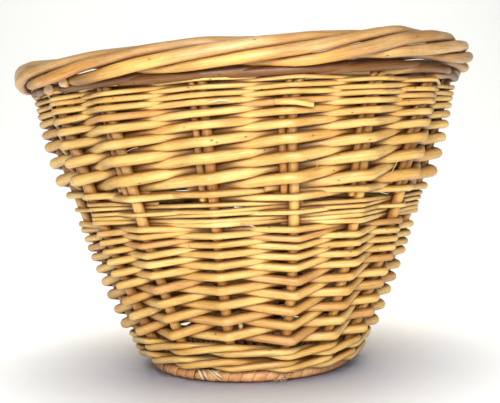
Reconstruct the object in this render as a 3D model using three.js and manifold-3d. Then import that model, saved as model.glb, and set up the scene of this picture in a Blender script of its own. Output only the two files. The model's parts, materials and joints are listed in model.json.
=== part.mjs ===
// Round tapered willow basket: woven base, lashed foot hoop, waled foot, two randed
// bands, a narrow band of rod tips between them and a rolled border.
// Millimetres, +Z up, origin at the centre of the resting plane, front towards -Y.
import * as THREE from 'three';
import { mergeVertices } from 'three/addons/utils/BufferGeometryUtils.js';
import Module from 'manifold-3d';

// ---- driving dimensions -------------------------------------------------------
const GAP = 0.35;                 // clearance left between neighbouring pieces
// Where the hand-set stakes stand, in degrees from the front towards +X.
const STAKE_ANGLES = [
  -9.7, 15.3, 36.4, 59, 81, 102.8, 124.7, 146.5,
  168.3, 190.2, 212, 233.8, 255.7, 277.5, 299, 323.5,
];
const STAKES = STAKE_ANGLES.length;
const STAKE_R = 3.55;
const ROD_SIDES = 6;

const WALL_R0 = 78.5;             // stake centre line: radius at the resting plane
const WALL_SLOPE = 0.368;         // and how far it leans out per unit of height
const WALL_SWELL = 5.5;           // how far the wall swells outwards, most at SWELL_Z
const SWELL_Z = 120;
const SWELL_REACH = 110;          // height above and below SWELL_Z where it dies out
const STAKE_BUTT_R = 64;          // the butts are pushed into the base this far in

const BORDER_OUTER_R = 180;
const BORDER_Z = 231;             // height of the centre of the rolled border
const BORDER_ROLL_R = 7.6;        // rods lie on this radius around that centre
const BORDER_START = -90;         // degrees round the roll where a stake turns in
const BORDER_END = 155;
const BORDER_TURN = 60;           // degrees round the roll from one stake to the next

const BYE_R = 2.5;
const BYE_OFFSET = 6.75;
const BYE_Z0 = 137;
const BYE_Z1 = 218.4;

const BASE_Z = 12;
const BASE_STICK_R = 2.9;
const BASE_STICK_PITCH = 6.4;
const BASE_LAYER = 3.2;           // half the height between the two crossing layers
const BASE_RAY_OFFSET = 8;        // base sticks end this far past the stakes, degrees
const BASE_AXIS = 100;            // direction of the lower group of sticks
const BASE_WEAVE = { inner: 22, outer: 74.5, bottom: 7, top: 17 };

const HOOP_R = 76.5;
const HOOP_CORE_R = 2.2;
const HOOP_CORE_Z = 3.5;
const LASHING = { inner: 2.6, outer: 3.5 };

const WALE_ROWS = 4;
const WALE_Z0 = 7.5;
const WALE_PITCH = 5.1;
const LOWER_RAND = { z0: 28.2, z1: 117.6, inside: 8.5, outside: 9.2 };
const TIP_BAND = { z0: 118, z1: 133.2, inside: 6.6, outside: 6.9 };
const UPPER_RAND = { z0: 133.6, z1: 216.6, inside: 8.2, outside: 8.6 };
const RING_SEGMENTS = 32;

// ---- shared helpers -----------------------------------------------------------
const wasm = await Module();
wasm.setup();
const group = new THREE.Group();
group.name = 'willow_basket';
const rad = THREE.MathUtils.degToRad;

// Radius of the stake centre line at a height.
function wallRadius(z) {
  const swell = Math.max(0, 1 - ((z - SWELL_Z) / SWELL_REACH) ** 2);
  return WALL_R0 + WALL_SLOPE * z + WALL_SWELL * swell;
}

// A point at an angle from the front, a radius and a height.
function at(angle, radius, z) {
  return new THREE.Vector3(radius * Math.sin(rad(angle)), -radius * Math.cos(rad(angle)), z);
}

// The angle at a stake number, which may lie between two stakes or past the last.
function angleAt(s) {
  const i = Math.floor(s);
  const whole = (k) => STAKE_ANGLES[k % STAKES] + 360 * Math.floor(k / STAKES);
  return whole(i) + (s - i) * (whole(i + 1) - whole(i));
}

// A path that passes through its stations one step at a time.
class Stations extends THREE.Curve {
  constructor(points) {
    super();
    this.points = points;
  }

  getUtoTmapping(u) {
    return u;
  }

  getPoint(t, target = new THREE.Vector3()) {
    const last = this.points.length - 1;
    const i = Math.min(Math.floor(t * last + 1e-6), last - 1);
    return target.lerpVectors(this.points[i], this.points[i + 1], t * last - i);
  }

  getTangent(t, target = new THREE.Vector3()) {
    const last = this.points.length - 1;
    const i = Math.round(t * last);
    const before = this.points[Math.max(i - 1, 0)];
    const here = this.points[i];
    const after = this.points[Math.min(i + 1, last)];
    const into = here.clone().sub(before).normalize();
    const out = after.clone().sub(here).normalize();
    return target.addVectors(into, out).normalize();
  }
}

// A round rod through a list of points.
function rod(points, radius, sides = ROD_SIDES) {
  const corners = [];
  for (let i = 0; i < sides; i += 1) {
    const a = (2 * Math.PI * (i + 0.5)) / sides;
    corners.push(new THREE.Vector2(radius * Math.cos(a), radius * Math.sin(a)));
  }
  return new THREE.ExtrudeGeometry(new THREE.Shape(corners), {
    steps: points.length - 1,
    extrudePath: new Stations(points),
    bevelEnabled: false,
  });
}

// A ring about the vertical axis from a closed profile of [radius, height] pairs.
function ring(profile) {
  const loop = [...profile, profile[0]].map(([r, z]) => new THREE.Vector2(r, z));
  const geometry = new THREE.LatheGeometry(loop, RING_SEGMENTS);
  geometry.rotateX(Math.PI / 2);
  return geometry;
}

function toManifold(geometry) {
  const plain = new THREE.BufferGeometry();
  plain.setAttribute('position', geometry.getAttribute('position'));
  if (geometry.index) {
    plain.setIndex(geometry.index);
  }
  const welded = mergeVertices(plain, 1e-4);
  const triangles = [];
  const index = welded.index.array;
  for (let i = 0; i < index.length; i += 3) {
    const [a, b, c] = [index[i], index[i + 1], index[i + 2]];
    if (a !== b && b !== c && c !== a) {
      triangles.push(a, b, c);
    }
  }
  const solid = new wasm.Manifold(new wasm.Mesh({
    numProp: 3,
    vertProperties: new Float32Array(welded.getAttribute('position').array),
    triVerts: new Uint32Array(triangles),
  }));
  return solid;
}

function toGeometry(solid) {
  const mesh = solid.getMesh();
  const geometry = new THREE.BufferGeometry();
  const position = new THREE.BufferAttribute(new Float32Array(mesh.vertProperties), 3);
  geometry.setAttribute('position', position);
  geometry.setIndex(new THREE.BufferAttribute(new Uint32Array(mesh.triVerts), 1));
  geometry.computeVertexNormals();
  return geometry;
}

function carve(geometry, cutters) {
  let solid = toManifold(geometry);
  for (const cutter of cutters) {
    solid = solid.subtract(cutter);
  }
  return toGeometry(solid);
}

function place(name, geometry, color) {
  const material = new THREE.MeshStandardMaterial({ color, roughness: 0.55 });
  const mesh = new THREE.Mesh(geometry, material);
  mesh.name = name;
  group.add(mesh);
}

const label = (i) => String(i + 1).padStart(2, '0');

// ---- stakes: butt in the base, up the wall, over into the rolled border --------
const borderRadius = BORDER_OUTER_R - BORDER_ROLL_R - STAKE_R;

function borderPoint(s, turn) {
  const radius = borderRadius + BORDER_ROLL_R * Math.cos(rad(turn));
  return at(angleAt(s), radius, BORDER_Z + BORDER_ROLL_R * Math.sin(rad(turn)));
}

function stakePath(k) {
  const angle = STAKE_ANGLES[k];
  const points = [
    at(angle, STAKE_BUTT_R, BASE_Z),
    at(angle, 76, BASE_Z),
    at(angle, 83.2, BASE_Z + 5),
    ...[24, 70, 118, 165, BYE_Z1 - 6].map((z) => at(angle, wallRadius(z), z)),
  ];
  const low = BORDER_Z - BORDER_ROLL_R;
  points.push(at(angle + 0.1, borderRadius - 1.6, low - 4.6));
  points.push(at(angle + 0.9, borderRadius - 0.4, low - 1.2));
  const steps = 10;
  for (let i = 0; i <= steps; i += 1) {
    const turn = BORDER_START + 7 + ((BORDER_END - BORDER_START - 7) * i) / steps;
    points.push(borderPoint(k + (turn - BORDER_START) / BORDER_TURN, turn));
  }
  return points;
}

const stakeNumbers = STAKE_ANGLES.map((_, k) => k);
const stakeCutters = stakeNumbers.map((k) => toManifold(rod(stakePath(k), STAKE_R + GAP)));

function buildStakes() {
  for (const k of stakeNumbers) {
    place(`stake_${label(k)}`, rod(stakePath(k), STAKE_R), 0xc98a45);
  }
}

// ---- bye-stakes: a thinner rod beside each stake through the upper band --------
function byePath(angle, extra) {
  const side = new THREE.Vector3(Math.cos(rad(angle)), Math.sin(rad(angle)), 0);
  const shift = side.multiplyScalar(-BYE_OFFSET);
  const ends = [BYE_Z0 - extra, BYE_Z1 + extra];
  return ends.map((z) => at(angle, wallRadius(z), z).add(shift));
}

const byeCutters = STAKE_ANGLES.map((a) => toManifold(rod(byePath(a, GAP), BYE_R + GAP)));

function buildByeStakes() {
  STAKE_ANGLES.forEach((angle, i) => {
    place(`bye_stake_${label(i)}`, rod(byePath(angle, 0), BYE_R), 0xbd8444);
  });
}

// ---- base: eight sticks crossed four through four, then opened out and woven ----
// Each stick joins two rays on opposite sides; a ray lies just past its stake.
// lane: where the stick lies in its group of four; across: the upper group.
function baseStickPath(lane, across) {
  const ends = across ? [7 + lane, (18 - lane) % STAKES] : [3 + lane, 14 - lane];
  const axis = BASE_AXIS + (across ? 90 : 0);
  const sideways = at(axis + 90, BASE_STICK_PITCH * (lane - 1.5), 0);
  const height = BASE_Z + (across ? BASE_LAYER : -BASE_LAYER);
  const ray = (k, radius) => at(STAKE_ANGLES[k] + BASE_RAY_OFFSET, radius, BASE_Z);
  return [
    ray(ends[0], 73),
    ray(ends[0], 24),
    at(axis, 12.5, height).add(sideways),
    at(axis, -12.5, height).add(sideways),
    ray(ends[1], 24),
    ray(ends[1], 73),
  ];
}

const basePaths = [];
for (const across of [false, true]) {
  for (let lane = 0; lane < 4; lane += 1) {
    basePaths.push(baseStickPath(lane, across));
  }
}

function buildBase() {
  basePaths.forEach((path, i) => {
    place(`base_stick_${i + 1}`, rod(path, BASE_STICK_R), 0xb98048);
  });
  const { inner, outer, bottom, top } = BASE_WEAVE;
  const disc = ring([[inner, bottom], [outer, bottom], [outer, top], [inner, top]]);
  const ends = basePaths.map((path) => toManifold(rod(path, BASE_STICK_R + GAP)));
  place('base_weave', carve(disc, [...ends, ...stakeCutters]), 0xd2a05c);
}

// ---- foot: a round hoop with a flat strip lashed round it -----------------------
function buildFoot() {
  const arc = (radius, degrees) => [
    HOOP_R + radius * Math.cos(rad(degrees)),
    HOOP_CORE_Z + radius * Math.sin(rad(degrees)),
  ];
  const round = [0, 45, 90, 135, 180, 225, 270, 315];
  place('foot_hoop', ring(round.map((a) => arc(HOOP_CORE_R, a))), 0xa8784a);
  const { inner, outer } = LASHING;
  const outside = [-225, -180, -140].map((a) => arc(outer, a));
  outside.push([HOOP_R - 1.8, 0], [HOOP_R + 1.8, 0]);
  outside.push(...[-40, 10, 70].map((a) => arc(outer, a)));
  const inside = [70, 10, -45, -90, -135, -180, -225].map((a) => arc(inner, a));
  place('foot_lashing', ring([...outside, ...inside]), 0xb07a52);
}

// ---- woven bands of the wall ----------------------------------------------------
// A flared band from z0 to z1, reaching inside and outside the stake centre line.
// bulge: how far the outer face stands out further at mid height.
function wallBand({ z0, z1, inside, outside }, bulge = 0) {
  const middle = (z0 + z1) / 2;
  return ring([
    [wallRadius(z0) - inside, z0],
    [wallRadius(z0) + outside, z0],
    [wallRadius(middle) + outside + bulge, middle],
    [wallRadius(z1) + outside, z1],
    [wallRadius(z1) - inside, z1],
    [wallRadius(middle) - inside, middle],
  ]);
}

function buildBands() {
  for (let row = 0; row < WALE_ROWS; row += 1) {
    const z0 = WALE_Z0 + WALE_PITCH * row;
    const band = { z0, z1: z0 + WALE_PITCH - GAP, inside: 6.4, outside: 5.6 };
    place(`bottom_wale_${row + 1}`, carve(wallBand(band, 1.4), stakeCutters), 0xcf9a55);
  }
  place('lower_rand', carve(wallBand(LOWER_RAND), stakeCutters), 0xe0b469);
  place('tip_band', carve(wallBand(TIP_BAND), stakeCutters), 0xd9ab62);
  const cutters = [...stakeCutters, ...byeCutters];
  place('upper_rand', carve(wallBand(UPPER_RAND), cutters), 0xe0b469);
}

buildStakes();
buildByeStakes();
buildBase();
buildFoot();
buildBands();

export default group;
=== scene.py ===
"""Round tapered willow basket: every rod of the weave is its own tapered tube, laid over and
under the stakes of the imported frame, with a procedural willow material."""

import json
import math
from collections import namedtuple

import bpy
import numpy as np
from mathutils import Matrix, Vector

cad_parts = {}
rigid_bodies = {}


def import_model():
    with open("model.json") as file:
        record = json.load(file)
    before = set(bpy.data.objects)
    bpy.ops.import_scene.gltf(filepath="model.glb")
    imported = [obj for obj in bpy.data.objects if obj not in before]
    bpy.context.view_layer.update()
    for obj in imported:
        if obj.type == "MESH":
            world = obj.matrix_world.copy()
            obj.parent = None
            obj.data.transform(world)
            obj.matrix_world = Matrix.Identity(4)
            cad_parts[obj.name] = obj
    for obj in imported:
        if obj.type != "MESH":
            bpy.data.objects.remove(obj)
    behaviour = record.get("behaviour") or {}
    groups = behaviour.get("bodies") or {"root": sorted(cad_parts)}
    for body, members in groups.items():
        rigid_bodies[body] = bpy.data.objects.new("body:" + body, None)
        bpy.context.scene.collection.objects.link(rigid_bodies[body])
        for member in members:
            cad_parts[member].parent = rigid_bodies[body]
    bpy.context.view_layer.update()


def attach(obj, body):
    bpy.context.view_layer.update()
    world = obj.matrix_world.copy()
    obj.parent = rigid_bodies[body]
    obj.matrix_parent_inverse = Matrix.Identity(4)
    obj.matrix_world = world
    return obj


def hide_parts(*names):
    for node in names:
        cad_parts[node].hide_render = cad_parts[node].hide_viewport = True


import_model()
MM = 0.001

# ---- driving measures, in metres: wall, base and hoop lie where the frame has them --------------
STAKE_ANGLES = [-9.7, 15.3, 36.4, 59, 81, 102.8, 124.7, 146.5,
                168.3, 190.2, 212, 233.8, 255.7, 277.5, 299, 323.5]
STAKES = len(STAKE_ANGLES)
STAKE_R = 3.9 * MM
BYE_R = 2.6 * MM
BYE_OFFSET = 6.75 * MM
WALL_R0 = 78.5 * MM
LEAN = 0.368
SLANT = math.cos(math.atan(LEAN))
SWELL = 5.5 * MM
SWELL_Z = 120 * MM
SWELL_REACH = 110 * MM
BORDER_R = 169.6 * MM
BORDER_Z = 231 * MM
ROLL_R = 8.1 * MM
BASE_Z = 12 * MM
HOOP_R = 76.5 * MM
HOOP_Z = 3.5 * MM

# The first seed of each kind of piece. Each of its pieces adds its own number.
SEED = {"lower_weaver": 100, "upper_weaver": 200, "first_row": 300, "even_tip": 400,
        "odd_tip": 500, "wale": 600, "stake": 700, "bye_stake": 800, "base_stick": 900,
        "base_weaver": 920, "hoop": 950, "lashing": 960, "cut_end": 1000, "splinter": 1020,
        "sliver": 1040, "fray_places": 1060, "fray": 1100}

# The basket is hand-made: by angle from the front in degrees, the millimetres by which the rim
# stands higher or lower.
RIM_HEIGHTS = [(-180, 0.0), (-90, -1.5), (-70, -2.0), (-45, -6.0), (-20, -2.0), (0, 0.0),
               (12, 0.0), (24, 3.5), (38, 8.0), (60, 7.5), (90, 5.5), (180, 0.0)]
# By the same angle, the degrees by which a stake stands away from its place at the rim, low in
# the wall and high, and by height in millimetres the share of the second one.
DRIFT_LOW = [(-110, 0), (-82, 3), (-61, 5), (-36, 2.3), (-10, 0), (36, 0.9), (59, -0.5), (81, 0)]
DRIFT_HIGH = [(-110, 0), (-82, 3), (-61, 4.5), (-36, 0.6), (-10, 0), (15, -4.3), (36, -3.6),
              (59, -5.3), (81, -4), (110, 0)]
DRIFT_HEIGHT = [(50, 0), (100, 0.2), (140, 0.5), (170, 0.75), (200, 1.0), (219, 0.5)]
# The rows lie higher on the left: the share by angle, and the millimetres by height.
LIFT_SHARE = [(-115, 0), (-80, 0.5), (-36, 0.85), (-10, 1.0), (15, 0)]
LIFT_HEIGHT = [(10, 3.0), (20, 4.5), (33, 5.6), (80, 6.0), (89, 3.4), (112, 3.4), (119, 0.0)]


def table(value, pairs):
    """The value read off a list of pairs, with straight lines between them."""
    return float(np.interp(value, *zip(*pairs)))


def from_front(angle):
    """An angle in radians as degrees from the front, between -180 and 180."""
    return (math.degrees(angle) + 180) % 360 - 180


def rim_lift(angle):
    return table(from_front(angle), RIM_HEIGHTS) * MM


def row_lift(angle, z):
    """Millimetres by which a row at a height in millimetres lies higher on the left."""
    return table(from_front(angle), LIFT_SHARE) * table(z, LIFT_HEIGHT)


def wall_radius(z):
    """Radius of the stakes' centre line at a height."""
    swell = max(0.0, 1 - ((z - SWELL_Z) / SWELL_REACH) ** 2)
    return WALL_R0 + LEAN * z + SWELL * swell


def angle_at(s, z=None):
    """Angle from the front, in radians, at a stake number that may lie between two stakes.

    Without a height it is the place at the rim; in the wall the stakes drift sideways."""
    i = math.floor(s)
    turn, k = divmod(i, STAKES)
    here = STAKE_ANGLES[k] + 360 * turn
    turn, k = divmod(i + 1, STAKES)
    after = STAKE_ANGLES[k] + 360 * turn
    degrees = here + (s - i) * (after - here)
    if z is not None:
        high = table(z / MM, DRIFT_HEIGHT)
        front = from_front(math.radians(degrees))
        degrees += (1 - high) * table(front, DRIFT_LOW) + high * table(front, DRIFT_HIGH)
    return math.radians(degrees)


def at(angle, radius, z):
    """A point at an angle from the front, counted towards the right."""
    return np.array([radius * math.sin(angle), -radius * math.cos(angle), z])


# ---- routes: the centre lines of the rods ---------------------------------------------------------
POINT_SPACING = 7 * MM
CORNER_SHARE = 0.42                     # a rounded corner takes at most this much of a run
CORNER_STEPS = (0.25, 0.5, 0.75, 1.0)   # places of the points round a corner
UPRIGHT = 0.1                           # sine of the angle from vertical of an upright start


class Route:
    """Corners of a rod's centre line, with its radius and the length cut off at each."""

    def __init__(self):
        self.corners, self.sizes, self.cuts = [], [], []

    def add(self, corner, size, cut=0.0):
        self.corners.append(corner)
        self.sizes.append(size)
        self.cuts.append(cut)

    def carry_on(self, end, length):
        """Adds a run straight on past the first corner (end 0) or the last (end -1)."""
        inner = -2 if end else 1
        place = len(self.corners) if end else 0
        step = self.corners[end] - self.corners[inner]
        tail = self.corners[end] + step / np.linalg.norm(step) * length
        self.corners.insert(place, tail)
        self.sizes.insert(place, self.sizes[end])
        self.cuts.insert(place, 0.0)

    def rounded(self, spacing=POINT_SPACING):
        """Points and radii along the route, its corners rounded over the lengths cut off."""
        last, last_r = self.corners[0], self.sizes[0]
        points, sizes = [last], [last_r]

        def straight(end, radius):
            steps = max(1, int(round(np.linalg.norm(end - last) / spacing)))
            for k in range(1, steps + 1):
                points.append(last + (end - last) * k / steps)
                sizes.append(last_r + (radius - last_r) * k / steps)

        for i in range(1, len(self.corners) - 1):
            here, radius = self.corners[i], self.sizes[i]
            run, onward = here - last, self.corners[i + 1] - here
            run_length, onward_length = np.linalg.norm(run), np.linalg.norm(onward)
            cut = min(self.cuts[i], CORNER_SHARE * run_length, CORNER_SHARE * onward_length)
            start = here - run / run_length * cut
            end = here + onward / onward_length * cut
            straight(start, radius)
            for t in CORNER_STEPS:
                points.append((1 - t) ** 2 * start + 2 * t * (1 - t) * here + t * t * end)
                sizes.append(radius)
            last, last_r = end, radius
        straight(self.corners[-1], self.sizes[-1])
        return np.array(points), np.array(sizes)


def directions(points):
    """Along, sideways and upwards at each point, carried along without twist."""
    tangents = np.gradient(points, axis=0)
    tangents /= np.linalg.norm(tangents, axis=1, keepdims=True)
    start = np.cross(tangents[0], [0.0, 0.0, 1.0])
    if np.linalg.norm(start) < UPRIGHT:
        start = np.cross(tangents[0], [0.0, 1.0, 0.0])
    side = start / np.linalg.norm(start)
    sides = [side]
    for t in tangents[1:]:
        side = side - t * np.dot(side, t)
        side = side / np.linalg.norm(side)
        sides.append(side)
    sides = np.array(sides)
    return tangents, sides, np.cross(sides, tangents)


# ---- meshes --------------------------------------------------------------------------------------
UNEVEN = 0.035            # how much a rod's radius varies
UNEVEN_SPACING = 12 * MM  # and over what length
UNEVEN_MARGIN = 20 * MM   # these places go on at least this far past a rod's end
END_R = 0.82              # a cut end is this much of the rod's radius
END_BEVEL = 0.12          # and its bevel is this much of the radius long
GRAIN_LENGTH = 3000       # each rod's grain starts somewhere along this many millimetres
ABOVE_ALL = 9.0           # a height that nothing reaches
FADE = 4 * MM             # height over which the weathering sets in
# Painted shade under the border: how dark a stake is by its height in millimetres, counted from where it
# is weathered.
SHADE_UNDER_BORDER = [(-11, 0), (-8.5, 1), (-5, 1), (-2, 0)]
SHADE_UNDER_BORDER_LIFT = 0.6          # share of the rim's own rise and fall that this follows


def tube_faces(first, last, sides):
    """Quads that join each ring of points to the next one, from the first ring to the last."""
    faces = []
    for ring in range(first, last):
        for k in range(sides):
            a, b = ring * sides + k, ring * sides + (k + 1) % sides
            faces.append((a, b, b + sides, a + sides))
    return faces


def make_piece(name, nodes, verts, faces, material):
    """A visible piece that stands for one or more nodes of the frame."""
    mesh = bpy.data.meshes.new(name)
    mesh.from_pydata([tuple(v) for v in verts], [], faces)
    mesh.materials.append(material)
    mesh.shade_smooth()
    piece = bpy.data.objects.new(name, mesh)
    bpy.context.scene.collection.objects.link(piece)
    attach(piece, "root")
    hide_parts(*nodes)
    return mesh


def put_attributes(mesh, space, **values):
    """Holds the grain coordinates and any other values on the points, for the material."""
    held = mesh.attributes.new("rod_space", "FLOAT_VECTOR", "POINT")
    held.data.foreach_set("vector", np.asarray(space, np.float32).ravel())
    for name, numbers in values.items():
        held = mesh.attributes.new(name, "FLOAT", "POINT")
        held.data.foreach_set("value", np.asarray(numbers, np.float32))


def rod(name, nodes, points, sizes, material, slot_name, seed, sides=10, aged_above=ABOVE_ALL):
    """A tapered willow rod with cut ends, its grain coordinates held on its points.

    aged_above: height above which the wood is weathered, as in the border."""
    rng = np.random.default_rng(seed)
    points = np.asarray(points, float)
    along = np.concatenate([[0], np.cumsum(np.linalg.norm(np.diff(points, axis=0), axis=1))])
    places = np.arange(0, along[-1] + UNEVEN_MARGIN, UNEVEN_SPACING)
    uneven = np.interp(along, places, rng.normal(0, UNEVEN, len(places)))
    sizes = np.asarray(sizes, float) * (1 + uneven)
    tangents, side, up = directions(points)
    offset = float(rng.uniform(0, GRAIN_LENGTH))
    twist = float(rng.uniform(0, 2 * math.pi))
    # each ring: number of its point, share of the radius, push along the rod, 1 on a cut end
    end = len(points) - 1
    rings = [(0, END_R, 0.0, 1.0), (0, END_R, 0.0, 0.0), (0, 1.0, END_BEVEL, 0.0)]
    rings += [(i, 1.0, 0.0, 0.0) for i in range(1, end)]
    rings += [(end, 1.0, -END_BEVEL, 0.0), (end, END_R, 0.0, 0.0), (end, END_R, 0.0, 1.0)]
    # under: share of painted shade on a stake just below the border
    verts, space, cut, weather, under = [], [], [], [], []
    for i, scale, push, is_cut in rings:
        r = sizes[i] * scale
        centre = points[i] + tangents[i] * push * sizes[i]
        above = points[i][2] - aged_above
        under_z = above - SHADE_UNDER_BORDER_LIFT * rim_lift(math.atan2(points[i][0], -points[i][1]))
        for a in np.linspace(0, 2 * math.pi, sides, endpoint=False):
            verts.append(centre + r * (side[i] * math.cos(a) + up[i] * math.sin(a)))
            space.append((along[i] / MM + offset, r / MM * math.cos(a + twist),
                          r / MM * math.sin(a + twist)))
        cut += [is_cut] * sides
        weather += [min(max(above / FADE, 0.0), 1.0)] * sides
        under += [table(under_z / MM, SHADE_UNDER_BORDER)] * sides
    faces = tube_faces(1, len(rings) - 2, sides)
    for i, first, is_start in ((0, 0, True), (end, (len(rings) - 1) * sides, False)):
        middle = len(verts)
        verts.append(points[i])
        space.append((along[i] / MM + offset, 0, 0))
        cut.append(1.0)
        weather.append(0.0)
        under.append(0.0)
        for k in range(sides):
            a, b = first + k, first + (k + 1) % sides
            faces.append((b, a, middle) if is_start else (a, b, middle))
    tone = np.full(len(verts), rng.uniform(0, 1))
    mesh = make_piece(name, nodes, verts, faces, material)
    put_attributes(mesh, space, tone=tone, cut=cut, weather=weather, under=under)


# ---- materials -------------------------------------------------------------------------------------
AGED = [(0.0, (0.58, 0.34, 0.13)), (1.0, (0.74, 0.47, 0.19))]
PATCH_TINT = (0.78, 0.66, 0.5)
# colour of the dust and painted shade between close rods
CREVICE_DUST_AND_SHADE_TINT = (0.25, 0.13, 0.06)
# colour of the painted shade on the stakes under the border
SHADE_UNDER_BORDER_TINT = (0.27, 0.2, 0.16)
STAIN = (0.16, 0.075, 0.03)
KNOT = (0.11, 0.045, 0.018)
SPECK = (0.13, 0.06, 0.025)
PITH = (0.58, 0.4, 0.23)
CREVICE_REACH = 13 * MM


class Tree:
    """A material's node tree, with short ways to add the nodes that willow needs."""

    def __init__(self, material):
        material.use_nodes = True
        self.nodes = material.node_tree.nodes
        self.links = material.node_tree.links
        self.shader = self.nodes["Principled BSDF"]
        self.space = self.attribute("rod_space", "Vector")

    def node(self, kind, **settings):
        made = self.nodes.new(kind)
        for key, value in settings.items():
            setattr(made, key, value)
        return made

    def attribute(self, name, output="Fac"):
        return self.node("ShaderNodeAttribute", attribute_name=name).outputs[output]

    def stretched(self, along, across):
        """The rod's own coordinates, in millimetres, times a scale along it and across it."""
        made = self.node("ShaderNodeVectorMath", operation="MULTIPLY")
        made.inputs[1].default_value = (along, across, across)
        self.links.new(self.space, made.inputs[0])
        return made.outputs[0]

    def noise(self, along, across, detail=3.0, roughness=0.55):
        made = self.node("ShaderNodeTexNoise")
        made.inputs["Scale"].default_value = 1.0
        made.inputs["Detail"].default_value = detail
        made.inputs["Roughness"].default_value = roughness
        self.links.new(self.stretched(along, across), made.inputs["Vector"])
        return made.outputs["Fac"]

    def dots(self, along, across, stops):
        """Spots, as the ramp's value by the distance from the middle of each."""
        made = self.node("ShaderNodeTexVoronoi")
        made.inputs["Scale"].default_value = 1.0
        self.links.new(self.stretched(along, across), made.inputs["Vector"])
        return self.ramp(made.outputs["Distance"], stops)

    def ramp(self, value, stops):
        made = self.node("ShaderNodeValToRGB")
        while len(made.color_ramp.elements) < len(stops):
            made.color_ramp.elements.new(0.5)
        for element, (position, colour) in zip(made.color_ramp.elements, stops):
            element.position = position
            element.color = (*(colour if isinstance(colour, tuple) else (colour,) * 3), 1)
        self.links.new(value, made.inputs["Fac"])
        return made.outputs["Color"]

    def mix(self, kind, fac, a, b):
        """A mix node of numbers, colours or other nodes' outputs."""
        made = self.node("ShaderNodeMix", data_type="RGBA", blend_type=kind)
        for socket, value in ((made.inputs["Factor"], fac), (made.inputs["A"], a),
                              (made.inputs["B"], b)):
            if isinstance(value, (int, float)):
                socket.default_value = value
            elif isinstance(value, tuple):
                socket.default_value = (*value, 1)
            else:
                self.links.new(value, socket)
        return made.outputs["Result"]

    def times(self, a, b):
        return self.mix("MULTIPLY", 1.0, a, b)

    def bump(self, strength, distance, height, normal=None):
        made = self.node("ShaderNodeBump")
        made.inputs["Strength"].default_value = strength
        made.inputs["Distance"].default_value = distance
        self.links.new(height, made.inputs["Height"])
        if normal is not None:
            self.links.new(normal, made.inputs["Normal"])
        return made.outputs["Normal"]


def crevice_dust_and_shade(tree, shade):
    """Partly dust and partly painted shade: the colour darkens where rods lie close together."""
    made = tree.node("ShaderNodeAmbientOcclusion", samples=6)
    made.inputs["Distance"].default_value = CREVICE_REACH
    return tree.ramp(made.outputs["AO"], [(0.22, shade), (0.5, 0.66 * shade), (0.86, 0.0)])


def wood_colour(tree, tones, streak, fine, knots, grime, shade):
    tone = tree.attribute("tone")
    colour = tree.ramp(tone, list(zip((0.0, 0.3, 1.0), tones)))
    colour = tree.mix("MIX", tree.attribute("weather"), colour, tree.ramp(tone, AGED))
    patches = tree.ramp(tree.noise(0.03, 0.12, 4.0), [(0.36, 1.0), (0.62, 0.0)])
    colour = tree.mix("MIX", patches, colour, tree.times(colour, PATCH_TINT))
    colour = tree.times(colour, streak)
    colour = tree.mix("MULTIPLY", 0.85, colour, fine)
    stains = tree.ramp(tree.noise(0.09, 0.35, 5.0, 0.7), [(0.6, 0.0), (0.72, 1.0)])
    colour = tree.mix("MIX", tree.times(stains, (grime, grime, grime)), colour, STAIN)
    colour = tree.mix("MIX", knots, colour, KNOT)
    specks = tree.dots(0.3, 0.45, [(0.03, 0.6), (0.09, 0.0)])
    colour = tree.mix("MIX", specks, colour, SPECK)
    # painted shade, with some dust, darkens the colour where rods lie close together
    colour = tree.mix("MIX", crevice_dust_and_shade(tree, shade), colour, tree.times(colour, CREVICE_DUST_AND_SHADE_TINT))
    # painted shade on the stakes just under the border
    colour = tree.mix("MIX", tree.attribute("under"), colour, tree.times(colour, SHADE_UNDER_BORDER_TINT))
    return tree.mix("MIX", tree.attribute("cut"), colour, tree.times(PITH, fine))


# shade: strength of the dust and painted shade between close rods
def willow(name, deep, middle, pale, rough=0.42, grime=0.35, shade=1.0):
    """Peeled, varnished willow: long grain, mottling, small knots and dull cut ends."""
    material = bpy.data.materials.new(name)
    tree = Tree(material)
    streak = tree.ramp(tree.noise(0.035, 1.1, 4.0, 0.6), [(0.34, 0.72), (0.52, 1.0), (0.7, 1.08)])
    fine = tree.ramp(tree.noise(0.25, 4.0, 2.0), [(0.35, 0.84), (0.6, 1.04)])
    knots = tree.dots(1 / 14, 1 / 8, [(0.02, 1.0), (0.06, 0.5), (0.1, 0.0)])
    colour = wood_colour(tree, (deep, middle, pale), streak, fine, knots, grime, shade)
    tree.links.new(colour, tree.shader.inputs["Base Color"])

    gloss = tree.node("ShaderNodeMapRange")
    gloss.inputs["To Min"].default_value = rough - 0.1
    gloss.inputs["To Max"].default_value = rough + 0.18
    tree.links.new(tree.noise(0.12, 0.6), gloss.inputs["Value"])
    tree.links.new(gloss.outputs["Result"], tree.shader.inputs["Roughness"])
    tree.shader.inputs["Coat Weight"].default_value = 0.12
    tree.shader.inputs["Coat Roughness"].default_value = 0.3

    grain = tree.bump(0.5, 0.25 * MM, tree.times(streak, fine))
    lumps = tree.bump(0.6, 0.9 * MM, tree.noise(0.1, 0.22, 2.0), grain)
    pits = tree.bump(0.5, 0.5 * MM, knots, lumps)
    tree.links.new(pits, tree.shader.inputs["Normal"])
    return material


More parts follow.
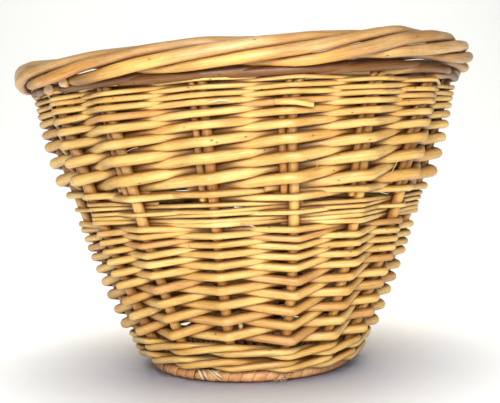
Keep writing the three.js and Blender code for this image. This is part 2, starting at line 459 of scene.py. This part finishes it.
WEAVER = willow("weaver_willow", (0.66, 0.35, 0.12), (0.82, 0.51, 0.15), (0.86, 0.58, 0.19))
TIP = willow("tip_willow", (0.72, 0.43, 0.13), (0.82, 0.54, 0.17), (0.88, 0.62, 0.22))
STAKE = willow("stake_willow", (0.72, 0.36, 0.08), (0.82, 0.44, 0.11), (0.86, 0.52, 0.15),
               shade=0.8)
BASE = willow("base_willow", (0.42, 0.22, 0.07), (0.6, 0.36, 0.13), (0.74, 0.5, 0.21))
SKEIN = willow("skein_strip", (0.72, 0.34, 0.13), (0.88, 0.46, 0.19), (0.95, 0.6, 0.28),
               rough=0.55, grime=0.4, shade=0.3)
FIBRE = willow("bare_fibre", (0.8, 0.6, 0.33), (0.88, 0.7, 0.42), (0.92, 0.78, 0.52),
               rough=0.5, grime=0.1, shade=0.3)


# ---- randed bands: each rod goes in front of one stake and behind the next, and climbs ---------------
# rows: heights at a stake in millimetres. thick: half the rod's thickness there. rise: how far a
# rod behind a stake comes up towards the level of the next row.
Band = namedtuple("Band", "rows thick rise")
LOWER = Band([33.4, 45.3, 57.0, 68.3, 78.5, 88.7, 96.2, 103.2, 109.6, 115.8],
             [3.65, 3.6, 3.5, 3.4, 3.2, 3.0, 2.7, 2.5, 2.4, 2.3], 1.0)
UPPER = Band([138.7, 151.7, 165.1, 177.1, 187.0, 194.7, 201.6, 206.6, 210.8, 216.2],
             [4.1, 4.15, 4.0, 3.6, 3.1, 2.65, 2.3, 2.0, 1.85, 1.6], 0.2)
EVEN_TIPS = Band([120.5, 123.7, 127.0, 130.4, 134.0], [2.2, 1.75, 1.6, 1.6, 1.6], 0.2)
ODD_TIPS = Band([128.0, 131.0], [1.6, 1.5], 0.2)
# Height of the upper band's first row by stake number, and what it is at the others.
FIRST_ROW = {0: 141.9, 1: 138.9, 2: 143.0, 3: 140.8, 15: 139.5}
FIRST_ROW_ELSEWHERE = 140.0
FIRST_ROW_STEP = 4.5
FIRST_ROW_THICK = [2.6, 2.4]

NEST = 0.94                # a rod lies this share of its radius off the stake
FRONT_CUT = 2.2 * MM       # a rod bends sharply in front of a stake
BEHIND_CUT = 4.5 * MM      # and gently behind it
ROW_SPREAD = 0.35          # millimetres up or down
SIDE_SPREAD = 0.8          # and sideways
TAIL = (7, 14)             # millimetres of a rod's end past its last stake
PAST_LAST = 0.2            # a rod climbs at most this share of a row past the last row
PAST_STAKE = 0.4 * MM      # the bend lies a little past the stake
BYE_DROP = 0.2 * MM        # and lower at the bye-stake
# By the cosine of the angle from the front: towards the back a rod behind a stake keeps its own
# level, and the rods are thicker.
RISE_SIDES = [(-0.1, 0.0), (0.5, 1.0)]
THICKER_BACK = [(-0.2, 1.3), (0.3, 1.0)]


def row_height(rows, level):
    """Height in millimetres at a level that may lie between two rows or past the last."""
    level = min(level, len(rows) - 1 + PAST_LAST)
    if level > len(rows) - 1:
        return rows[-1] + (level - len(rows) + 1) * (rows[-1] - rows[-2])
    return np.interp(level, range(len(rows)), rows)


def weaver_route(start, band, steps, rng, bye):
    """Route of one rod; it is in front of a stake at the even steps, which climb a row each."""
    route = Route()

    def cross(s, side, z, r, shift, post_r):
        reach = side * (post_r + NEST * r) / SLANT
        angle = angle_at(s, z) + shift / wall_radius(z)
        route.add(at(angle, wall_radius(z) + reach, z), r, FRONT_CUT if side > 0 else BEHIND_CUT)

    for step in steps:
        side = 1 if step % 2 == 0 else -1
        there = angle_at(start + step)
        facing = math.cos(there)
        level = step / 2
        z = row_height(band.rows, level)
        if side < 0:
            rise = band.rise * table(facing, RISE_SIDES)
            z += rise * (row_height(band.rows, level + 0.5) - z)
        z = (z + row_lift(there, z) + rng.normal(0, ROW_SPREAD)) * MM
        r = np.interp(level, range(len(band.rows)), band.thick) * table(facing, THICKER_BACK) * MM
        shift = rng.normal(0, SIDE_SPREAD) * MM
        if bye:
            cross(start + step, side, z - BYE_DROP, r, shift - BYE_OFFSET, BYE_R)
        cross(start + step, side, z, r, shift + PAST_STAKE, STAKE_R)
    # the ends lie against the inside, a little past the last stake
    for end in (0, -1):
        route.carry_on(end, rng.uniform(*TAIL) * MM)
    return route


def rand(prefix, node, band, steps, material, slot_name, seed, starts=range(STAKES), sides=10,
         bye=False, even_shorter=0):
    """Rods that start at the given stakes; a rod from an even one leaves out its last steps."""
    for j in starts:
        taken = steps[:len(steps) - even_shorter] if j % 2 == 0 else steps
        route = weaver_route(j, band, taken, np.random.default_rng(seed + j), bye)
        rod(f"{prefix}_{j + 1:02d}", [node], *route.rounded(), material, slot_name, seed + j,
            sides)


def build_wall():
    rand("lower_weaver", "lower_rand", LOWER, range(-1, 20), WEAVER, "weaver_willow",
         SEED["lower_weaver"], even_shorter=2)
    rand("upper_weaver", "upper_rand", UPPER, range(1, 20), WEAVER, "weaver_willow",
         SEED["upper_weaver"], bye=True)
    for j in range(STAKES):
        z = FIRST_ROW.get(j, FIRST_ROW_ELSEWHERE)
        band = Band([z, z + FIRST_ROW_STEP], FIRST_ROW_THICK, UPPER.rise)
        rand("first_row_rod", "upper_rand", band, range(-1, 2), TIP, "weaver_willow",
             SEED["first_row"], starts=[j])
    rand("even_tip", "tip_band", EVEN_TIPS, range(-1, 10), TIP, "tip_willow", SEED["even_tip"],
         starts=range(0, STAKES, 2), sides=8)
    rand("odd_tip", "tip_band", ODD_TIPS, range(-1, 2), TIP, "tip_willow", SEED["odd_tip"],
         starts=range(1, STAKES, 2), sides=8)


# ---- waling above the foot: three rods, in front of two stakes and behind one -------------------------
WALE_RODS = 3
WALE_ROUNDS = 2
WALE_R = 2.7                      # millimetres, and this much more where it faces back
WALE_THICKER_BACK = 0.4
WALE_HIGHER_BACK = 2.0
WALE_Z = 12.9
WALE_RISE = 10.2                  # from the first round to the second
WALE_CLIMB = 1.5                  # stakes over which it rises
WALE_PHASE_Z = (0, -2.6, 2.6)     # behind the stake, then low and high in front of the next two
WALE_BACK = [(-0.3, 1.0), (0.2, 0.0)]
WALE_NEST = 0.9
WALE_SPREAD = 0.2
WALE_CUT = 6 * MM


def build_wale():
    nodes = [f"bottom_wale_{i + 1}" for i in range(4)]
    for i in range(WALE_RODS):
        rng = np.random.default_rng(SEED["wale"] + i)
        route = Route()
        for step in range(-1, WALE_ROUNDS * STAKES + 2):
            phase = (step - i) % WALE_RODS
            # where the first round closes, the rod climbs onto it
            level = min(max((step - STAKES - 0.5) / WALE_CLIMB + 0.5, 0), 1)
            stake = step + STAKES // 2
            there = angle_at(stake)
            back = table(math.cos(there), WALE_BACK)
            z = WALE_Z + WALE_RISE * level + WALE_PHASE_Z[phase] + rng.normal(0, WALE_SPREAD)
            z = (z + row_lift(there, z) + WALE_HIGHER_BACK * back) * MM
            r = (WALE_R + WALE_THICKER_BACK * back) * MM
            side = -1 if phase == 0 else 1
            reach = side * (STAKE_R + WALE_NEST * r) / SLANT
            route.add(at(angle_at(stake, z), wall_radius(z) + reach, z), r, WALE_CUT)
        rod(f"wale_rod_{i + 1}", nodes, *route.rounded(), WEAVER, "weaver_willow",
            SEED["wale"] + i)


# ---- stakes and rolled border: each stake bends over and winds round the rim --------------------------
BUTT_R = 3.7 * MM
BUTT_INNER = 64 * MM
BUTT_OUTER = 77 * MM
BEND_Z = 19 * MM
BUTT_CUT = 8 * MM
BEND_CUT = 10 * MM
WALL_HEIGHTS = (60, 100, 140, 170, 190, 207)
WALL_SPREAD = 0.25
WALL_CUT = 12 * MM
KNEE_Z = 219 * MM
KNEE_DROP = 0.1 * MM
KNEE_R = 3.2 * MM
KNEE_LIFT = 0.25                  # share of the rim's rise and fall that the knee follows
KNEE_CUT = 6 * MM
# A stake past its knee: how many stakes on, how far outside the wall, height in millimetres.
UNDER_RUN = [(0.45, 2.6, 219.6), (1.0, 6.6, 220.2), (1.5, 0.6, 221.8), (2.0, -7.0, 224.0),
             (2.5, 0.0, 226.5)]
RUN_LIFT = [(0.5, 0.5), (1.5, 0.6), (2.5, 0.9)]   # the same share, by the stakes passed
RUN_R = 3.15 * MM
RUN_SPREAD = 0.35
RUN_CUT = 9 * MM
# Then round the roll: how many stakes on, and degrees round the roll from its outer side.
ROLL_STEPS = [(2.95, -50), (3.5, -18), (4.0, 15), (4.5, 47), (5.0, 80), (5.5, 112), (6.0, 145),
              (6.2, 158)]
ROLL_THICK = (3.8, 4.35)
ROLL_TAPER = [(3, 0.92), (3.3, 1.0), (5, 0.95), (6.4, 0.75)]
ROLL_SPREAD = 2.0                 # degrees
ROLL_CUT = 12 * MM
AGED_Z = 227.5 * MM


def roll_point(s, turn):
    """A point on the roll of the border, at a stake number and degrees round the roll."""
    angle = angle_at(s)
    turn = math.radians(turn)
    radius = BORDER_R + ROLL_R * math.cos(turn)
    return at(angle, radius, BORDER_Z + ROLL_R * math.sin(turn) + rim_lift(angle))


def stake_in_wall(route, k, rng):
    """From the butt in the base, round the bend and up the wall to the knee."""
    angle = angle_at(k, 0.0)
    route.add(at(angle, BUTT_INNER, BASE_Z), BUTT_R)
    route.add(at(angle, BUTT_OUTER, BASE_Z), BUTT_R, BUTT_CUT)
    route.add(at(angle, wall_radius(BEND_Z), BEND_Z), BUTT_R, BEND_CUT)
    for height in WALL_HEIGHTS:
        z = height * MM
        shift = rng.normal(0, WALL_SPREAD) * MM
        angle = angle_at(k, z) + shift / wall_radius(z)
        route.add(at(angle, wall_radius(z), z), STAKE_R, WALL_CUT)
    angle = angle_at(k, KNEE_Z)
    knee = at(angle, wall_radius(KNEE_Z), KNEE_Z - KNEE_DROP + KNEE_LIFT * rim_lift(angle))
    route.add(knee, KNEE_R, KNEE_CUT)


def stake_in_border(route, k, rng):
    """Past the knee, under the border and then over and round its roll."""
    for step, outside, height in UNDER_RUN:
        angle = angle_at(k + step)
        lift = table(step, RUN_LIFT) * rim_lift(angle)
        z = height * MM + lift + rng.normal(0, RUN_SPREAD) * MM
        route.add(at(angle, wall_radius(z) + outside * MM, z), RUN_R, RUN_CUT)
    thick = rng.uniform(*ROLL_THICK) * MM
    for step, turn in ROLL_STEPS:
        point = roll_point(k + step, turn + rng.normal(0, ROLL_SPREAD))
        route.add(point, thick * table(step, ROLL_TAPER), ROLL_CUT)


def build_stakes():
    for k in range(STAKES):
        rng = np.random.default_rng(SEED["stake"] + k)
        route = Route()
        stake_in_wall(route, k, rng)
        stake_in_border(route, k, rng)
        rod(f"stake_rod_{k + 1:02d}", [f"stake_{k + 1:02d}"], *route.rounded(), STAKE,
            "stake_willow", SEED["stake"] + k, sides=12, aged_above=AGED_Z)


# Height, radius and rounding of a bye-stake at its corners below the top, in millimetres.
BYE_CORNERS = [(137.5, 2.7, 0), (160, 2.7, 8), (190, 2.6, 8)]
BYE_TOP = 218.5
BYE_TOP_R = 2.5
BYE_TOP_SPREAD = (-1, 2.5)


def build_bye_stakes():
    for k in range(STAKES):
        rng = np.random.default_rng(SEED["bye_stake"] + k)
        top = (BYE_TOP + rng.uniform(*BYE_TOP_SPREAD), BYE_TOP_R, 0)
        route = Route()
        for height, r, cut in BYE_CORNERS + [top]:
            z = height * MM
            angle = angle_at(k, z) - BYE_OFFSET / wall_radius(z)
            route.add(at(angle, wall_radius(z), z), r * MM, cut * MM)
        rod(f"bye_stake_rod_{k + 1:02d}", [f"bye_stake_{k + 1:02d}"], *route.rounded(), STAKE,
            "bye_stake_willow", SEED["bye_stake"] + k)


# ---- base: eight sticks opened out, two rods paired round them ----------------------------------------
BASE_LANES = 4                    # sticks in each of the two crossing groups
STICK_R = 2.9 * MM
STICK_PITCH = 6.4 * MM
STICK_LAYER = 3.2 * MM            # half the height between the two groups
STICK_TIP = 73 * MM
STICK_OPENING = 24 * MM           # radius where the sticks fan out
STICK_STRAIGHT = 12.5 * MM        # and up to where they lie side by side
STICK_CUTS = (6 * MM, 4 * MM)
BASE_AXES = (100, 190)            # directions of the two groups, in degrees
RAY_OFFSET = 8                    # a base stick ends this many degrees past a stake
BASE_RAYS = [math.radians(a + RAY_OFFSET) for a in STAKE_ANGLES]
BASE_WEAVERS = 2
BASE_ROUNDS = 13
BASE_INNER = 20.5                 # radius of the weave in millimetres, and how far it grows
BASE_GROWTH = 53.5
BASE_WEAVER_R = (1.5, 2.1)
BASE_WEAVER_NEST = 0.6
BASE_WEAVER_SPREAD = 0.15
BASE_WEAVER_CUT = 2.5 * MM
BASE_SPACING = 5 * MM


def build_base_sticks():
    for i in range(2 * BASE_LANES):
        lane, across = i % BASE_LANES, i >= BASE_LANES
        # the numbers of the stakes past which the two ends come out
        ends = (7 + lane, (18 - lane) % STAKES) if across else (3 + lane, 14 - lane)
        rays = [BASE_RAYS[end] for end in ends]
        axis = math.radians(BASE_AXES[across])
        sideways = at(axis + math.pi / 2, STICK_PITCH * (lane - (BASE_LANES - 1) / 2), 0)
        height = BASE_Z + (STICK_LAYER if across else -STICK_LAYER)
        outer_cut, inner_cut = STICK_CUTS
        route = Route()
        route.add(at(rays[0], STICK_TIP, BASE_Z), STICK_R)
        route.add(at(rays[0], STICK_OPENING, BASE_Z), STICK_R, outer_cut)
        route.add(at(axis, STICK_STRAIGHT, height) + sideways, STICK_R, inner_cut)
        route.add(at(axis, -STICK_STRAIGHT, height) + sideways, STICK_R, inner_cut)
        route.add(at(rays[1], STICK_OPENING, BASE_Z), STICK_R, outer_cut)
        route.add(at(rays[1], STICK_TIP, BASE_Z), STICK_R)
        rod(f"base_stick_rod_{i + 1}", [f"base_stick_{i + 1}"], *route.rounded(), BASE,
            "base_willow", SEED["base_stick"] + i)


def build_base_weave():
    steps = BASE_ROUNDS * STAKES
    for i in range(BASE_WEAVERS):
        rng = np.random.default_rng(SEED["base_weaver"] + i)
        route = Route()
        for step in range(steps + 1):
            turn, k = divmod(step + i * STAKES // BASE_WEAVERS, STAKES)
            radius = (BASE_INNER + BASE_GROWTH * step / steps) * MM
            r = np.interp(step, [0, steps], BASE_WEAVER_R) * MM
            side = 1 if (step + i) % 2 else -1
            z = BASE_Z + side * (STICK_R + BASE_WEAVER_NEST * r)
            radius += rng.normal(0, BASE_WEAVER_SPREAD) * MM
            route.add(at(BASE_RAYS[k] + 2 * math.pi * turn, radius, z), r, BASE_WEAVER_CUT)
        rod(f"base_weaver_{i + 1}", ["base_weave"], *route.rounded(BASE_SPACING), BASE,
            "base_willow", SEED["base_weaver"] + i, sides=8)


# ---- foot: a hoop wrapped with a flat strip -----------------------------------------------------------
HOOP_ROD_R = 2.3 * MM
HOOP_STEPS = 120
LASHING_TURNS = 54
STEPS_PER_TURN = 14
LASHING_STEPS = LASHING_TURNS * STEPS_PER_TURN
LASHING_CENTRE = (HOOP_R + 1.2 * MM, HOOP_Z + 1.3 * MM)
LASHING_R = 2.75 * MM
LASHING_WAVE = 0.12 * MM          # some turns stand out by this much more
LASHING_WAVE_RATE = 3             # radians of that wave in each turn
LASHING_START = 2.4               # radians round the hoop where the strip starts
LASHING_TALLER = 1.32             # the wrapping is this much higher than it is wide
STRIP_OVERLAP = 1.12              # width of the strip as a share of its pitch
STRIP_UNEVEN = 0.09
STRIP_THICK = 0.8 * MM
STRIP_TILT = 0.45 * MM            # one edge lies over the turn before
STRIP_GRAIN = 1.35                # millimetres of grain at each step
# Outline of the strip: across, as a share of its width, and up, as a share of its thickness.
STRIP_SECTION = [(-0.5, -0.3), (-0.46, 0.25), (-0.2, 0.42), (0.2, 0.5), (0.46, 0.42), (0.5, -0.1)]


def build_hoop():
    ring = [at(2 * math.pi * i / HOOP_STEPS, HOOP_R, HOOP_Z) for i in range(HOOP_STEPS + 1)]
    rod("hoop_rod", ["foot_hoop"], ring, [HOOP_ROD_R] * len(ring), STAKE, "hoop_wood",
        SEED["hoop"])


def build_lashing():
    rng = np.random.default_rng(SEED["lashing"])
    turns = range(LASHING_TURNS + 2)
    widths = rng.normal(1.0, STRIP_UNEVEN, len(turns))
    pitch = 2 * math.pi * HOOP_R / LASHING_TURNS
    verts, space = [], []
    for i in range(LASHING_STEPS + 1):
        s = i / STEPS_PER_TURN
        angle = 2 * math.pi * i / LASHING_STEPS
        roll = 2 * math.pi * s + LASHING_START
        out = at(angle, 1, 0) * math.cos(roll) + np.array([0, 0, math.sin(roll)])
        forward = at(angle + math.pi / 2, 1, 0)
        width = pitch * STRIP_OVERLAP * np.interp(s, turns, widths)
        reach = LASHING_R + LASHING_WAVE * math.sin(LASHING_WAVE_RATE * s)
        for across, up in STRIP_SECTION:
            lifted = out * (reach + up * STRIP_THICK + STRIP_TILT * across)
            lifted[2] *= LASHING_TALLER
            verts.append(at(angle, *LASHING_CENTRE) + lifted + forward * across * width)
            space.append((i * STRIP_GRAIN, across * width / MM, up))
    sides = len(STRIP_SECTION)
    tones = np.interp(np.arange(LASHING_STEPS + 1) / STEPS_PER_TURN, turns,
                      rng.uniform(0, 1, len(turns)))
    mesh = make_piece("lashing_strip", ["foot_lashing"], verts,
                      tube_faces(0, LASHING_STEPS, sides), SKEIN)
    none = np.zeros(len(verts))
    put_attributes(mesh, space, tone=np.repeat(tones, sides), cut=none, weather=none, under=none)


# ---- cut ends, split tips and loose fibres ------------------------------------------------------------
# Angle from the front in degrees, height and distance outside the wall in millimetres, radius,
# and the stake that it belongs to.
CUT_ENDS = [(-55.5, 217.5, 8, 4.2, "stake_15"), (-46.5, 220.5, 10, 3.8, "stake_16"),
            (-78.5, 222.0, 5, 2.6, "stake_14"), (78.0, 226.0, 5, 3.0, "stake_05")]
CUT_END_RUN = [(5, 17, 1), (2, 8, 0.5), (0, 0, 0)]   # back from the end, in millimetres
# The same three measures for a splinter's root and tip, and its radius at each.
SPLINTERS = [((7, 200.8, 4), (15.5, 198, 11), 2.1, 1.9), ((-9, 201, 6), (-3.5, 202.2, 9), 0.9, 0.4),
             ((43, 152, 8), (42, 161, 13), 0.3, 0.2), ((18, 157, 7), (17.5, 161, 12), 0.3, 0.15),
             ((-2, 121, 6), (2, 119, 11), 0.9, 0.5), ((-31, 172, 8), (-27, 174, 10), 0.25, 0.15),
             ((-4.4, 38, -1), (-5.2, 53, -1), 1.9, 1.7)]
SPLINTER_BOW = (0.8, -0.6, 0.8)
WHOLE_ROD_R = 2                   # below this a splinter is bare fibre, otherwise a rod's end
# Angle and height of both ends of a sliver over the wrapping.
FOOT_SLIVERS = [((-29.5, 9.5), (-26.5, 2)), ((-27, 9.5), (-23.5, 2)), ((-23.5, 9.5), (-16.5, 2)),
                ((-21.5, 9.7), (-15.5, 4))]
SLIVER_OUT = 4.9 * MM
SLIVER_SIZES = [0.6 * MM, 1.25 * MM, 0.4 * MM]
# Tufts of fibre at the foot: angle, number of fibres and height.
FRAYS = [(16.5, 16, 3.0), (14.0, 8, 3.5), (71.0, 12, 4.0), (80.0, 8, 5.0)]
FRAY_OUT = 4.0 * MM
FRAY_SIZES = [0.32 * MM, 0.26 * MM, 0.14 * MM]
FRAY_LENGTH = (2.0, 4.5)
FRAY_RISE = (-0.6, 0.7)
FRAY_SPREAD = (1.6, 1.2, 45)      # of the root in degrees and millimetres, of the way in degrees
FRAY_LOWEST = (1.0, 0.5)          # millimetres above the floor, of the root and of any point
FRAY_SEEDS = 40                   # seeds kept for each tuft


def beside_wall(degrees, z, outside):
    return at(math.radians(degrees), wall_radius(z * MM) + outside * MM, z * MM)


def build_cut_ends():
    for i, (degrees, z, outside, r, node) in enumerate(CUT_ENDS):
        end = beside_wall(degrees, z, outside)
        points = [end + np.array(back) * MM for back in CUT_END_RUN]
        rod(f"cut_end_{i + 1}", [node], points, [r * MM] * len(points), STAKE, "stake_willow",
            SEED["cut_end"] + i, sides=12)


def build_splinters():
    for i, (root, tip, root_r, tip_r) in enumerate(SPLINTERS):
        first, last = beside_wall(*root), beside_wall(*tip)
        middle = (first + last) / 2 + np.array(SPLINTER_BOW) * MM
        sizes = [root_r * MM, (root_r + tip_r) / 2 * MM, tip_r * MM]
        material, sides = (FIBRE, 6) if root_r < WHOLE_ROD_R else (WEAVER, 10)
        rod(f"splinter_{i + 1}", ["upper_rand"], [first, middle, last], sizes, material,
            "weaver_willow", SEED["splinter"] + i, sides)


def build_slivers():
    for i, ends in enumerate(FOOT_SLIVERS):
        first, last = [at(math.radians(a), HOOP_R + SLIVER_OUT, z * MM) for a, z in ends]
        rod(f"foot_sliver_{i + 1}", ["foot_lashing"], [first, (first + last) / 2, last],
            SLIVER_SIZES, FIBRE, "skein_strip", SEED["sliver"] + i, sides=6)


def build_frays():
    rng = np.random.default_rng(SEED["fray_places"])
    root_turn, root_rise, way_turn = FRAY_SPREAD
    root_lowest, lowest = FRAY_LOWEST
    for i, (degrees, count, z) in enumerate(FRAYS):
        for k in range(count):
            root_angle = math.radians(degrees + rng.normal(0, root_turn))
            root_z = max(z + rng.normal(0, root_rise), root_lowest) * MM
            root = at(root_angle, HOOP_R + FRAY_OUT, root_z)
            way_angle = math.radians(degrees + rng.normal(0, way_turn))
            way = at(way_angle, 1.0, rng.uniform(*FRAY_RISE))
            reach = rng.uniform(*FRAY_LENGTH) * MM
            points = [root, root + way * reach * 0.5, root + way * reach]
            for point in points:
                point[2] = max(point[2], lowest * MM)
            rod(f"fray_{i + 1}_{k + 1:02d}", ["foot_lashing"], points, FRAY_SIZES, FIBRE,
                "skein_strip", SEED["fray"] + FRAY_SEEDS * i + k, sides=5)


build_wall()
build_wale()
build_stakes()
build_bye_stakes()
build_base_sticks()
build_base_weave()
build_hoop()
build_lashing()
build_cut_ends()
build_splinters()
build_slivers()
build_frays()


# ---- camera, light and backdrop -----------------------------------------------------------------------
CAMERA_PLACE = (0, -0.748, 0.1651)
CAMERA_PITCH = 2.70               # degrees down
CAMERA_ROLL = -1.60               # degrees round its own axis
CAMERA_YAW = 0.16                 # degrees to the right
CAMERA_LENS = 66.2
SENSOR_WIDTH = 36
FLOOR_COLOUR = (0.9, 0.892, 0.862, 1)
FLOOR_ROUGH = 0.6
FLOOR_FRONT = -9.0                # metres, as all measures of the stage
FLOOR_BACK = 1.2
SWEEP_R = 1.2
SWEEP_STEPS = 12
STAGE_TOP = 5.0
STAGE_HALF_WIDTH = 6.0
WORLD_COLOUR = (0.68, 0.74, 1.0, 1)
WORLD_STRENGTH = 0.22
# What each light falls on, its place, what it aims at, width and height, watts and colour.
LIGHTS = {
    "key": ("basket", (0, -0.98, 0.38), (0, 0, 0.1), (0.33, 0.25), 9.4, (1.0, 0.98, 0.95)),
    "low": ("basket", (0, -0.95, 0.1), (0, 0, 0.02), (0.25, 0.15), 0.08, (1.0, 0.95, 0.93)),
    "overhead": ("stage", (0, 0, 2.4), (0, 0, 0), (2.4, 2.4), 100, (1.0, 0.985, 0.9)),
    "back": ("stage", (0, 0.9, 1.5), (0, 2.2, 0.9), (2.0, 0.8), 2, (1.0, 0.99, 0.97)),
    "cool": ("stage", (0, -1.2, 0.95), (0, 0, 0), (1.2, 1.2), 7, (0.3, 0.55, 1.0)),
}
NARROW_SPREAD = {"low": 40}       # degrees; the other lights spread freely


def build_camera():
    data = bpy.data.cameras.new("camera")
    data.sensor_width = SENSOR_WIDTH
    data.lens = CAMERA_LENS
    camera = bpy.data.objects.new("camera", data)
    bpy.context.scene.collection.objects.link(camera)
    camera.matrix_world = (Matrix.Translation(CAMERA_PLACE)
                           @ Matrix.Rotation(math.radians(-CAMERA_YAW), 4, "Z")
                           @ Matrix.Rotation(math.radians(90 - CAMERA_PITCH), 4, "X")
                           @ Matrix.Rotation(math.radians(CAMERA_ROLL), 4, "Z"))
    bpy.context.scene.camera = camera


def build_stage():
    """A pale floor that sweeps up into a backdrop."""
    profile = [(FLOOR_FRONT, 0.0), (FLOOR_BACK, 0.0)]
    for i in range(1, SWEEP_STEPS + 1):
        a = math.pi / 2 * i / SWEEP_STEPS
        profile.append((FLOOR_BACK + SWEEP_R * math.sin(a), SWEEP_R - SWEEP_R * math.cos(a)))
    profile.append((FLOOR_BACK + SWEEP_R, STAGE_TOP))
    verts = [(x, y, z) for x in (-STAGE_HALF_WIDTH, STAGE_HALF_WIDTH) for y, z in profile]
    n = len(profile)
    faces = [(i, i + 1, n + i + 1, n + i) for i in range(n - 1)]
    mesh = bpy.data.meshes.new("floor")
    mesh.from_pydata(verts, [], faces)
    mesh.shade_smooth()
    material = bpy.data.materials.new("floor_white")
    material.use_nodes = True
    shader = material.node_tree.nodes["Principled BSDF"]
    shader.inputs["Base Color"].default_value = FLOOR_COLOUR
    shader.inputs["Roughness"].default_value = FLOOR_ROUGH
    mesh.materials.append(material)
    floor = bpy.data.objects.new("floor", mesh)
    bpy.context.scene.collection.objects.link(floor)
    floor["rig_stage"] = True


def receivers(kind):
    """The collection of what a light falls on: the basket's pieces, or the stage."""
    found = bpy.data.collections.get(kind)
    if found is None:
        found = bpy.data.collections.new(kind)
        for piece in bpy.context.scene.objects:
            if piece.type == "MESH" and bool(piece.get("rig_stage")) == (kind == "stage"):
                found.objects.link(piece)
    return found


def build_lights():
    for name, (lit, position, target, size, power, colour) in LIGHTS.items():
        data = bpy.data.lights.new(name, "AREA")
        data.shape = "RECTANGLE"
        data.size, data.size_y = size
        data.energy = power
        data.color = colour
        data.spread = math.radians(NARROW_SPREAD.get(name, 180))
        lamp = bpy.data.objects.new(name, data)
        lamp.location = position
        aim = Vector(target) - Vector(position)
        lamp.rotation_euler = aim.to_track_quat("-Z", "Y").to_euler()
        lamp.light_linking.receiver_collection = receivers(lit)
        bpy.context.scene.collection.objects.link(lamp)


def build_world():
    world = bpy.data.worlds.new("world")
    bpy.context.scene.world = world
    world.use_nodes = True
    background = world.node_tree.nodes["Background"]
    background.inputs["Color"].default_value = WORLD_COLOUR
    background.inputs["Strength"].default_value = WORLD_STRENGTH


build_camera()
build_stage()
build_lights()
build_world()
bpy.context.scene.view_settings.view_transform = "Standard"
